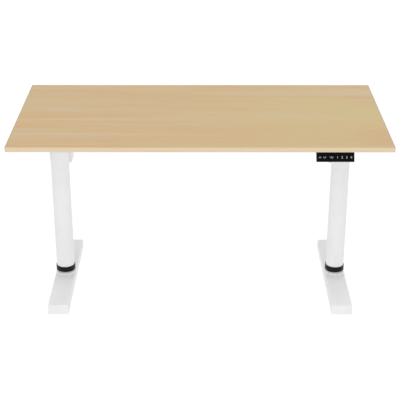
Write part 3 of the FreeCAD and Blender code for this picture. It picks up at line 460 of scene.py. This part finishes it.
def screws(name, spots, facing, head):
    """Zinc plated socket screws at the spots; (radius, height) heads stand out along facing."""
    radius, height = head
    dots = bpy.data.meshes.new(f"{name}_spots")
    dots.from_pydata([tuple(spot) for spot in spots], [], [])
    carrier = bpy.data.objects.new(f"{name}_spots", dots)
    modifier = carrier.modifiers.new("screws", "NODES")
    modifier.node_group = SCREWS
    settings = {"Head radius": radius, "Head height": height, "Socket radius": radius / 2,
                "Facing": tuple(facing), "Finish": MATERIALS["zinc_steel"]}
    for socket in SCREWS.interface.items_tree:
        if socket.name in settings:
            modifier[socket.identifier] = settings[socket.name]
    piece(name, evaluated_mesh(name, carrier), "zinc_steel", "upper")


# Where the screws sit on the centre rail, end plates, cases and covers, and the radius and height
# of their heads.
CLAMP_INSETS = (22 * MM, 78 * MM)
PLATE_THICK = 3 * MM
PLATE_SCREW_Y = 33 * MM
PLATE_SCREW_Z = 9 * MM
CASE_SCREW_X = 34.5 * MM
CASE_SCREW_INSET = 7.5 * MM
COVER_SCREW_X = 27 * MM
COVER_SCREW_DROP = 12 * MM
CLAMP_HEAD = (5 * MM, 4 * MM)
PLATE_HEAD = (3.4 * MM, 3 * MM)
CASE_HEAD = (3.2 * MM, 2.2 * MM)
COVER_HEAD = (2.8 * MM, 1.2 * MM)


def frame_screws():
    """Screws of the rail clamps, the rails' end plates, the gear cases and the motor covers."""
    low, high, _ = box_of("centre_rail")
    spots = [(sign * (high.x - inset), 0, low.z) for sign in (-1, 1) for inset in CLAMP_INSETS]
    screws("rail_clamp_screws", spots, -UP, CLAMP_HEAD)
    for side, sign in SIDES:
        low, high, middle = box_of(f"{side}_rail")
        face_x = max(sign * low.x, sign * high.x) - PLATE_THICK
        spots = [(sign * face_x, y * PLATE_SCREW_Y, middle.z + z * PLATE_SCREW_Z)
                 for y in (-1, 1) for z in (-1, 1)]
        screws(f"{side}_plate_screws", spots, -sign * ACROSS, PLATE_HEAD)
        _, high, middle = box_of(f"{side}_motor_cover")
        case_front = box_of(f"{side}_gear_case")[0].y
        spots = [(middle.x + x * CASE_SCREW_X, case_front + CASE_SCREW_INSET, high.z)
                 for x in (-1, 1)]
        screws(f"{side}_case_screws", spots, -UP, CASE_HEAD)
        spots = [(middle.x + x * COVER_SCREW_X, high.y, high.z - COVER_SCREW_DROP)
                 for x in (-1, 1)]
        screws(f"{side}_cover_screws", spots, BACK, COVER_HEAD)


RIB_COUNT = 9
FIRST_RIB = 26 * MM
RIB_PITCH = 7 * MM
RIB_HALF_LONG = 22 * MM
RIB_WIDE = 2.6 * MM
RIB_PROUD = 1.0 * MM
RIB_SOFT = 0.6 * MM
SUNK = 0.4 * MM


def cover_ribs():
    """Raised cooling ribs on the back of each motor cover."""
    for side, _ in SIDES:
        low, high, middle = box_of(f"{side}_motor_cover")
        shape = bmesh.new()
        for number in range(RIB_COUNT):
            level = low.z + FIRST_RIB + number * RIB_PITCH
            bar(shape, (middle.x - RIB_HALF_LONG, high.y - SUNK, level),
                (middle.x + RIB_HALF_LONG, high.y + RIB_PROUD, level + RIB_WIDE), RIB_SOFT)
        name = f"{side}_cover_ribs"
        piece(name, mesh_of(name, shape), "white_plastic", "upper")


# Under the control case are louvres and a blank plate, measured from the case's front edge, and
# on its back a status lens.
LOUVRE_COUNT = 16
FIRST_LOUVRE = -62 * MM
LOUVRE_PITCH = 6.2 * MM
LOUVRE_WIDE = 2.8 * MM
LOUVRE_ENDS = (22 * MM, 68 * MM)
LOUVRE_PROUD = 1.0 * MM
LOUVRE_SOFT = 0.5 * MM
BLANK_X = (66 * MM, 116 * MM)
BLANK_Y = (14 * MM, 76 * MM)
BLANK_PROUD = 0.8 * MM
BLANK_SOFT = 0.7 * MM
LENS_X = -96 * MM
LENS_UP = 16 * MM
LENS_STEPS = 24
LENS_DOME = ((0.2 * MM, 0.0), (2.0 * MM, 0.0), (1.9 * MM, 0.7 * MM),
             (1.1 * MM, 1.3 * MM), (0.2 * MM, 1.5 * MM))


def control_details():
    """Louvres and a blank raised plate under the control case, and a small status lens."""
    low, high, _ = box_of("control_case")
    shape = bmesh.new()
    for number in range(LOUVRE_COUNT):
        x = FIRST_LOUVRE + number * LOUVRE_PITCH
        bar(shape, (x, low.y + LOUVRE_ENDS[0], low.z - LOUVRE_PROUD),
            (x + LOUVRE_WIDE, low.y + LOUVRE_ENDS[1], low.z + SUNK), LOUVRE_SOFT)
    bar(shape, (BLANK_X[0], low.y + BLANK_Y[0], low.z - BLANK_PROUD),
        (BLANK_X[1], low.y + BLANK_Y[1], low.z + SUNK), BLANK_SOFT)
    piece("control_louvres", mesh_of("control_louvres", shape), "black_plastic", "upper")
    shape = bmesh.new()
    spun(shape, LENS_DOME, Vector((LENS_X, high.y, low.z + LENS_UP)), BACK, LENS_STEPS)
    piece("status_lens", mesh_of("status_lens", shape), "display_light", "upper")


PLUG_LENGTH = 14 * MM
PLUG_SIZE = 12 * MM
LEAD_RADIUS = 2.5 * MM
BOOT_RIBS = 5
BOOT_PITCH = 2.6 * MM
BOOT_SWELL = 2.4 * MM
BOOT_TAPER = 0.36 * MM
BOOT_NECK = 0.5 * MM
BOOT_RIB = 1.7 * MM
BOOT_SLOPE = 0.1 * MM
BOOT_STEPS = 28


def lead_boots():
    """Ribbed strain reliefs where the motor leads leave their plugs."""
    shape = bmesh.new()
    outline = [(LEAD_RADIUS, 0.0)]
    neck = LEAD_RADIUS + BOOT_NECK
    for rib in range(BOOT_RIBS):
        start = rib * BOOT_PITCH
        swell = LEAD_RADIUS + BOOT_SWELL - rib * BOOT_TAPER
        outline += [(swell, start), (swell, start + BOOT_RIB),
                    (neck, start + BOOT_RIB + BOOT_SLOPE), (neck, start + BOOT_PITCH - BOOT_SLOPE)]
    outline.append((LEAD_RADIUS, BOOT_RIBS * BOOT_PITCH))
    for side, sign in SIDES:
        low, high, middle = box_of(f"{side}_motor_lead")
        outer = max(sign * low.x, sign * high.x) - PLUG_LENGTH
        inner = min(sign * low.x, sign * high.x) + PLUG_LENGTH
        outer_end = Vector((sign * outer, middle.y, low.z + PLUG_SIZE / 2))
        inner_end = Vector((sign * inner, middle.y, high.z - PLUG_SIZE / 2))
        spun(shape, outline, outer_end, -sign * ACROSS, BOOT_STEPS)
        spun(shape, outline, inner_end, sign * ACROSS, BOOT_STEPS)
    piece("lead_boots", mesh_of("lead_boots", shape), "lead_sheath", "upper")


# ---------------------------------------------------------------- keypad face

FASCIA_THICK = 2 * MM
KEY_PROUD = 0.8 * MM
PRINT_THICK = 0.15 * MM
GLYPH_HIGH = 8.4 * MM
FONT_SHARE = 1.38
DIGIT_WIDEN = 0.12 * MM
PRINT_DEGREES = 20


def key_face():
    """The keypad's face: a point on the keys' middle line, the way up it and the way out of it."""
    press = next(joint["axis"] for joint in RECORD["behaviour"]["joints"]
                 if joint["name"] == "key_up_press")
    out = -Vector(press).normalized()
    up = out.cross(ACROSS).normalized()
    low = box_of("handset_fascia")[0]
    edge = Vector((0, low.y, low.z + FASCIA_THICK * out.z))
    key_low, key_high, _ = box_of("key_up")
    start = (key_low.y - edge.y - out.y * KEY_PROUD) / up.y
    end = (key_high.z - edge.z - out.z * KEY_PROUD) / up.z
    return edge + up * (start + end) / 2, up, out


FACE, FACE_UP, FACE_OUT = key_face()


def face_prism(shape, corners, x, level):
    """A thin prism at x, level metres off the face, on an outline of (across, up) corners."""
    centre = Vector((x, FACE.y, FACE.z)) + FACE_OUT * level
    lower = [shape.verts.new(centre + ACROSS * across + FACE_UP * upward)
             for across, upward in corners]
    upper = [shape.verts.new(vert.co + FACE_OUT * PRINT_THICK) for vert in lower]
    shape.faces.new(lower)
    shape.faces.new(list(reversed(upper)))
    for index in range(len(corners)):
        after = (index + 1) % len(corners)
        shape.faces.new((lower[index], lower[after], upper[after], upper[index]))


ARROW_HALF = 4.4 * MM
ARROW_RISE = 5.0 * MM
ARROW_STROKE = 2.0 * MM


def chevron(direction):
    """An open arrow head pointing up (1) or down (-1)."""
    low, high = -ARROW_RISE / 2, ARROW_RISE / 2
    corners = [(-ARROW_HALF, low), (0, high), (ARROW_HALF, low),
               (ARROW_HALF, low + ARROW_STROKE), (0, high + ARROW_STROKE),
               (-ARROW_HALF, low + ARROW_STROKE)]
    return [(x, direction * (y - ARROW_STROKE / 2)) for x, y in corners]


def digit_mesh(label, digit, x):
    """A digit as a thin mesh standing on a key."""
    curve = bpy.data.curves.new(label, "FONT")
    curve.body = digit
    curve.align_x = "CENTER"
    curve.align_y = "CENTER"
    curve.size = GLYPH_HIGH * FONT_SHARE
    curve.extrude = PRINT_THICK / 2
    curve.offset = DIGIT_WIDEN
    mesh = evaluated_mesh(label, bpy.data.objects.new(label, curve))
    spot = Vector((x, FACE.y, FACE.z)) + FACE_OUT * (KEY_PROUD + PRINT_THICK / 2)
    turn = Matrix((ACROSS, FACE_UP, FACE_OUT)).transposed().to_4x4()
    mesh.transform(Matrix.Translation(spot) @ turn)
    return mesh


def key_prints():
    """Pale arrows and digits on the six keys."""
    for name in KEY_NAMES:
        x = middle_of(f"key_{name}").x
        label = f"key_{name}_print"
        if name in ("up", "down"):
            shape = bmesh.new()
            face_prism(shape, chevron(1 if name == "up" else -1), x, KEY_PROUD)
            mesh = mesh_of(label, shape, PRINT_DEGREES)
        else:
            mesh = digit_mesh(label, name, x)
        piece(label, mesh, "white_print", f"{name}_key")


# The ends of a seven segment figure's segments in half widths and half heights, and the segments
# that each figure lights.
SEGMENT_ENDS = {
    "a": ((-1, 1), (1, 1)), "b": ((1, 0), (1, 1)), "c": ((1, -1), (1, 0)), "d": ((-1, -1), (1, -1)),
    "e": ((-1, -1), (-1, 0)), "f": ((-1, 0), (-1, 1)), "g": ((-1, 0), (1, 0)),
}
LIT = {"2": "abged", "3": "abgcd", "7": "abc"}
DISPLAY_TEXT = "732"
DISPLAY_SHARE = 0.511
DISPLAY_PITCH = 5.4 * MM
FIGURE_HALF = (1.55 * MM, 3.3 * MM)
STROKE = 0.4 * MM


def display_digits():
    """The height in millimetres as lit seven segment figures behind the window."""
    left_x, right_x = (middle_of(f"key_{name}").x for name in ("down", "1"))
    centre_x = left_x + DISPLAY_SHARE * (right_x - left_x)
    half_wide, half_high = FIGURE_HALF
    shape = bmesh.new()
    for number, figure in enumerate(DISPLAY_TEXT):
        for segment in LIT[figure]:
            (x1, y1), (x2, y2) = [(x * half_wide, y * half_high)
                                  for x, y in SEGMENT_ENDS[segment]]
            if y1 == y2:
                corners = [(x1, y1), (x1 + STROKE, y1 - STROKE), (x2 - STROKE, y1 - STROKE),
                           (x2, y1), (x2 - STROKE, y1 + STROKE), (x1 + STROKE, y1 + STROKE)]
            else:
                corners = [(x1, y1), (x1 + STROKE, y1 + STROKE), (x1 + STROKE, y2 - STROKE),
                           (x1, y2), (x1 - STROKE, y2 - STROKE), (x1 - STROKE, y1 + STROKE)]
            face_prism(shape, corners, centre_x + (number - 1) * DISPLAY_PITCH, 0.0)
    piece("display_digits", mesh_of("display_digits", shape, PRINT_DEGREES),
          "display_light", "upper")


# ---------------------------------------------------------------- stage, light, camera

def lamp(name, place, target, size, power):
    """A square soft light that looks from place to target."""
    light = bpy.data.lights.new(name, "AREA")
    light.shape = "SQUARE"
    light.size = size
    light.energy = power
    holder = bpy.data.objects.new(name, light)
    holder.location = place
    holder.rotation_euler = (Vector(target) - Vector(place)).to_track_quat("-Z", "Y").to_euler()
    bpy.context.scene.collection.objects.link(holder)


FLOOR_SIZE = 150
FLOOR_TONES = ((0.3, "#606060"), (0.7, "#666666"))
FLOOR_GLOW = 0.92
ROOM_FRONT = 1.08
ROOM_SIDES = 0.05
ROOM_DIM_FROM = 0.12
ROOM_DIM_TO = 0.3
# Each light's name, place, target, size and power.
LIGHTS = (
    ("front_light", (-0.4, -3.0, 4.6), (0, -0.2, 0.2), 3.0, 26),
    ("top_light", (0.4, -0.3, 5.0), (0, 0, 0), 4.5, 34),
)


def stage():
    """A plain white lit floor, a white room with dark upper sides, and two soft lights."""
    shape = bmesh.new()
    bmesh.ops.create_grid(shape, x_segments=1, y_segments=1, size=FLOOR_SIZE)
    floor = bpy.data.objects.new("floor", mesh_of("floor", shape))
    bpy.context.scene.collection.objects.link(floor)
    material, tree = new_material("white_floor")
    floor.data.materials.append(finished(material, {
        "Base Color": ramp(tree, noise(tree, (2.0, 2.0, 2.0), 2.0), FLOOR_TONES),
        "Roughness": 0.9, "Specular IOR Level": 0.0,
        "Emission Color": linear("#ffffff"), "Emission Strength": FLOOR_GLOW}))
    world = bpy.data.worlds.new("white_room")
    world.use_nodes = True
    room = world.node_tree
    room.nodes.clear()
    ray = parts_of(room, add(room, "ShaderNodeNewGeometry").outputs["Incoming"])
    sideways = times(room, ray["X"], ray["X"])
    upward = spread(room, ray["Z"], -ROOM_DIM_FROM, -ROOM_DIM_TO)
    dimmed = times(room, sideways, upward)
    strength = spread(room, dimmed, 0.0, 1.0, ROOM_FRONT, ROOM_SIDES)
    background = add(room, "ShaderNodeBackground", {
        "Color": linear("#ffffff"), "Strength": strength})
    add(room, "ShaderNodeOutputWorld", {"Surface": background.outputs[0]})
    bpy.context.scene.world = world
    for light in LIGHTS:
        lamp(*light)


CAMERA_PLACE = (0.0062, -3.922, 2.1668)
CAMERA_TURN = (math.radians(65.33), 0, 0.0017)
LENS_LENGTH = 96.78
SENSOR_WIDTH = 36
CLIP_END = 1000


def camera():
    """A long lens from the front, well above the tabletop."""
    view = bpy.data.cameras.new("camera")
    view.sensor_width = SENSOR_WIDTH
    view.lens = LENS_LENGTH
    view.clip_end = CLIP_END
    holder = bpy.data.objects.new("camera", view)
    holder.location = CAMERA_PLACE
    holder.rotation_euler = CAMERA_TURN
    bpy.context.scene.collection.objects.link(holder)
    bpy.context.scene.camera = holder
    bpy.context.scene.view_settings.view_transform = "Standard"


paint_cad_nodes()
weld_beads()
frame_screws()
cover_ribs()
control_details()
lead_boots()
key_prints()
display_digits()
stage()
camera()
